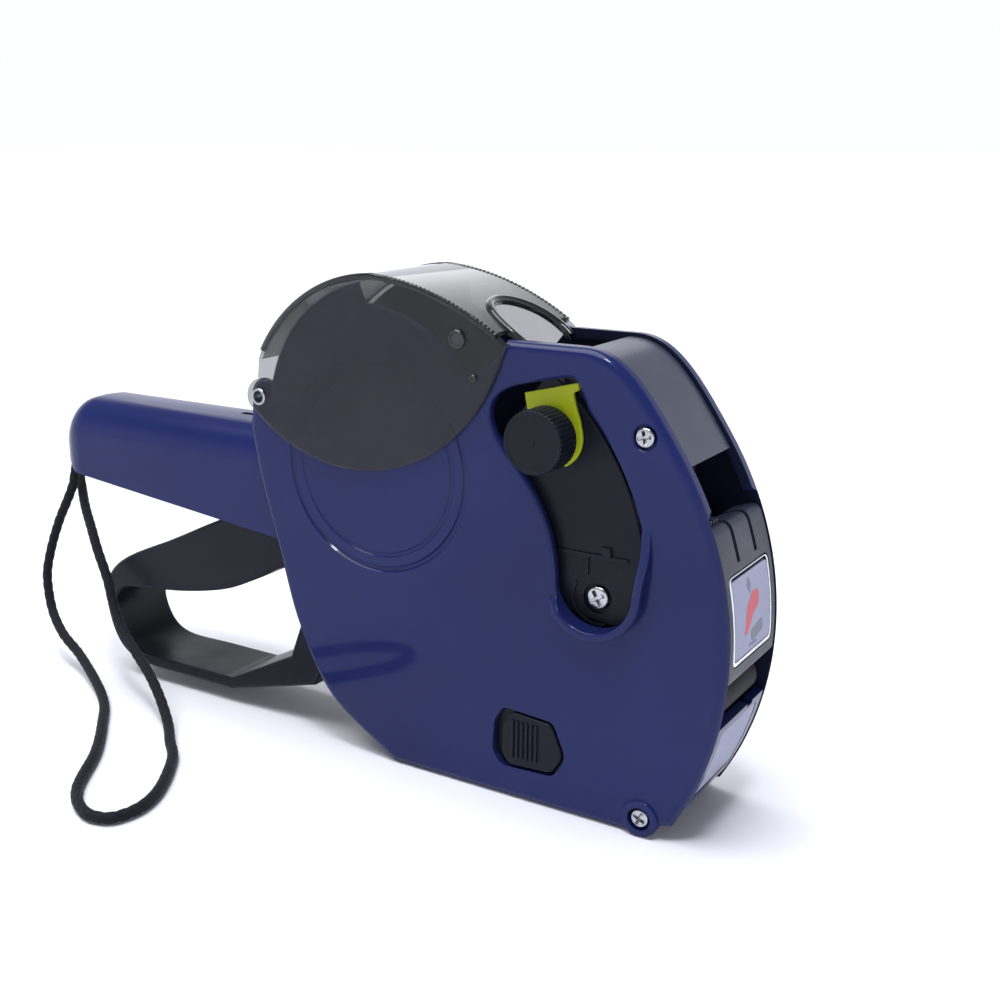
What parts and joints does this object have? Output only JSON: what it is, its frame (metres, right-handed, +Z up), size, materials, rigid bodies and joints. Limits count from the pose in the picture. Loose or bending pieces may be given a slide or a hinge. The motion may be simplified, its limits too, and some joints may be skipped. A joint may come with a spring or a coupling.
{
  "type": "price labeling gun",
  "caption": "Hand-held price labeling gun with a squeeze lever, swinging print head behind a side window, turn-and-pull band selector, smoked roll cover and wrist strap.",
  "frame": {"origin": "on the flat underside of the base plate, midway between the two side panels", "axes": "+X towards the nose where labels come out, +Z up, -Y the side of the selector knob"},
  "size_m": [0.2482, 0.11, 0.1371],
  "materials": {
    "navy_plastic": "glossy moulded",
    "black_plastic": "satin moulded",
    "dark_grey_plastic": "satin moulded",
    "grey_window": "satin tinted",
    "smoked_plastic": "clear smoked",
    "indicator_yellow": "moulded",
    "white_label": "satin film",
    "foil": "bright film",
    "chrome": "bright plated",
    "steel": "turned",
    "type_rubber": "moulded",
    "ink_foam": "porous",
    "strap_cord": "braided"
  },
  "bodies": {
    "housing": {"right_side_panel": "navy_plastic", "left_side_panel": "navy_plastic", "right_front_screw": "chrome", "right_boss_screw": "chrome", "left_front_screw": "chrome", "left_boss_screw": "chrome", "front_tie_bar": "steel", "bottom_hinge_bar": "steel", "base_plate": "navy_plastic", "front_chin": "navy_plastic", "chin_label": "white_label", "front_cover_pin": "steel", "digit_window": "grey_window", "roll_tray": "black_plastic", "right_cover_rivet": "steel", "left_cover_rivet": "steel", "handle_grip": "navy_plastic", "strap_pin": "steel", "lever_shaft": "steel", "return_spring": "steel", "right_arm_pivot": "steel", "left_arm_pivot": "steel", "ink_holder": "black_plastic", "feed_axle": "steel", "pawl_pin": "steel", "platen": "dark_grey_plastic", "applicator_axle": "steel", "wrist_strap": "strap_cord"},
    "trigger": {"trigger_lever": "black_plastic", "drive_pin": "steel"},
    "print_arm": {"right_print_arm": "black_plastic", "left_print_arm": "black_plastic", "right_arm_screw": "chrome", "left_arm_screw": "chrome", "print_head_housing": "dark_grey_plastic", "band_drum": "black_plastic", "type_anvil": "steel", "type_band_1": "type_rubber", "type_band_2": "type_rubber", "type_band_3": "type_rubber", "type_band_4": "type_rubber", "type_band_5": "type_rubber", "type_band_6": "type_rubber", "type_band_7": "type_rubber", "type_band_8": "type_rubber"},
    "selector": {"band_indicator": "indicator_yellow"},
    "selector_knob": {"selector_knob": "black_plastic", "selector_shaft": "steel"},
    "roll_cover": {"roll_cover": "smoked_plastic"},
    "front_cover": {"front_cover": "dark_grey_plastic", "badge_frame": "foil", "badge_label": "white_label"},
    "bottom_door": {"bottom_door": "navy_plastic"},
    "right_latch": {"right_latch_button": "black_plastic"},
    "left_latch": {"left_latch_button": "black_plastic"},
    "ink_roller": {"ink_roller": "ink_foam"},
    "feed_wheel": {"feed_wheel": "dark_grey_plastic"},
    "feed_pawl": {"feed_pawl": "steel"},
    "applicator_roller": {"applicator_roller": "type_rubber"}
  },
  "joints": [
    {"name": "trigger_squeeze", "type": "hinge", "parent": "housing", "child": "trigger", "pos_m": [-0.063, 0, 0.044], "axis": [0, 1, 0], "range_deg": [0, 13.5], "stiffness_Nm_per_rad": 2, "springref_deg": -11.46, "deforming": ["return_spring"]},
    {"name": "print_arm_swing", "type": "hinge", "parent": "housing", "child": "print_arm", "pos_m": [-0.03, 0, 0.062], "axis": [0, 1, 0], "range_deg": [0, 40.5]},
    {"name": "selector_pull", "type": "slide", "parent": "print_arm", "child": "selector", "axis": [0, -1, 0], "range_m": [0, 0.0175]},
    {"name": "selector_turn", "type": "hinge", "parent": "selector", "child": "selector_knob", "pos_m": [0.00976, 0, 0.1], "axis": [0, -1, 0], "continuous": true},
    {"name": "roll_cover_open", "type": "hinge", "parent": "housing", "child": "roll_cover", "pos_m": [-0.0815, 0, 0.101], "axis": [0, -1, 0], "range_deg": [0, 105]},
    {"name": "front_cover_open", "type": "hinge", "parent": "housing", "child": "front_cover", "pos_m": [0.05668, 0, 0.04546], "axis": [0, 1, 0], "range_deg": [0, 95]},
    {"name": "bottom_door_open", "type": "hinge", "parent": "housing", "child": "bottom_door", "pos_m": [0.0384, 0, 0.005], "axis": [0, -1, 0], "range_deg": [0, 35]},
    {"name": "right_latch_press", "type": "slide", "parent": "housing", "child": "right_latch", "axis": [-1, 0, 0], "range_m": [0, 0.0024], "stiffness_N_per_m": 250, "springref_m": -0.001},
    {"name": "left_latch_press", "type": "slide", "parent": "housing", "child": "left_latch", "axis": [-1, 0, 0], "range_m": [0, 0.0024], "stiffness_N_per_m": 250, "springref_m": -0.001},
    {"name": "ink_roller_spin", "type": "hinge", "parent": "housing", "child": "ink_roller", "pos_m": [0.0493, 0, 0.064], "axis": [0, 1, 0], "continuous": true},
    {"name": "feed_wheel_spin", "type": "hinge", "parent": "housing", "child": "feed_wheel", "pos_m": [-0.012, 0, 0.024], "axis": [0, 1, 0], "continuous": true},
    {"name": "feed_pawl_lift", "type": "hinge", "parent": "housing", "child": "feed_pawl", "pos_m": [-0.029, 0, 0.025], "axis": [0, -1, 0], "range_deg": [0, 8], "stiffness_Nm_per_rad": 0.004, "springref_deg": -17.19},
    {"name": "applicator_roller_spin", "type": "hinge", "parent": "housing", "child": "applicator_roller", "pos_m": [0.0514, 0, 0.0376], "axis": [0, 1, 0], "continuous": true}
  ],
  "couplings": [
    {"joint": "print_arm_swing", "follows": "trigger_squeeze", "ratio": 2.98}
  ]
}
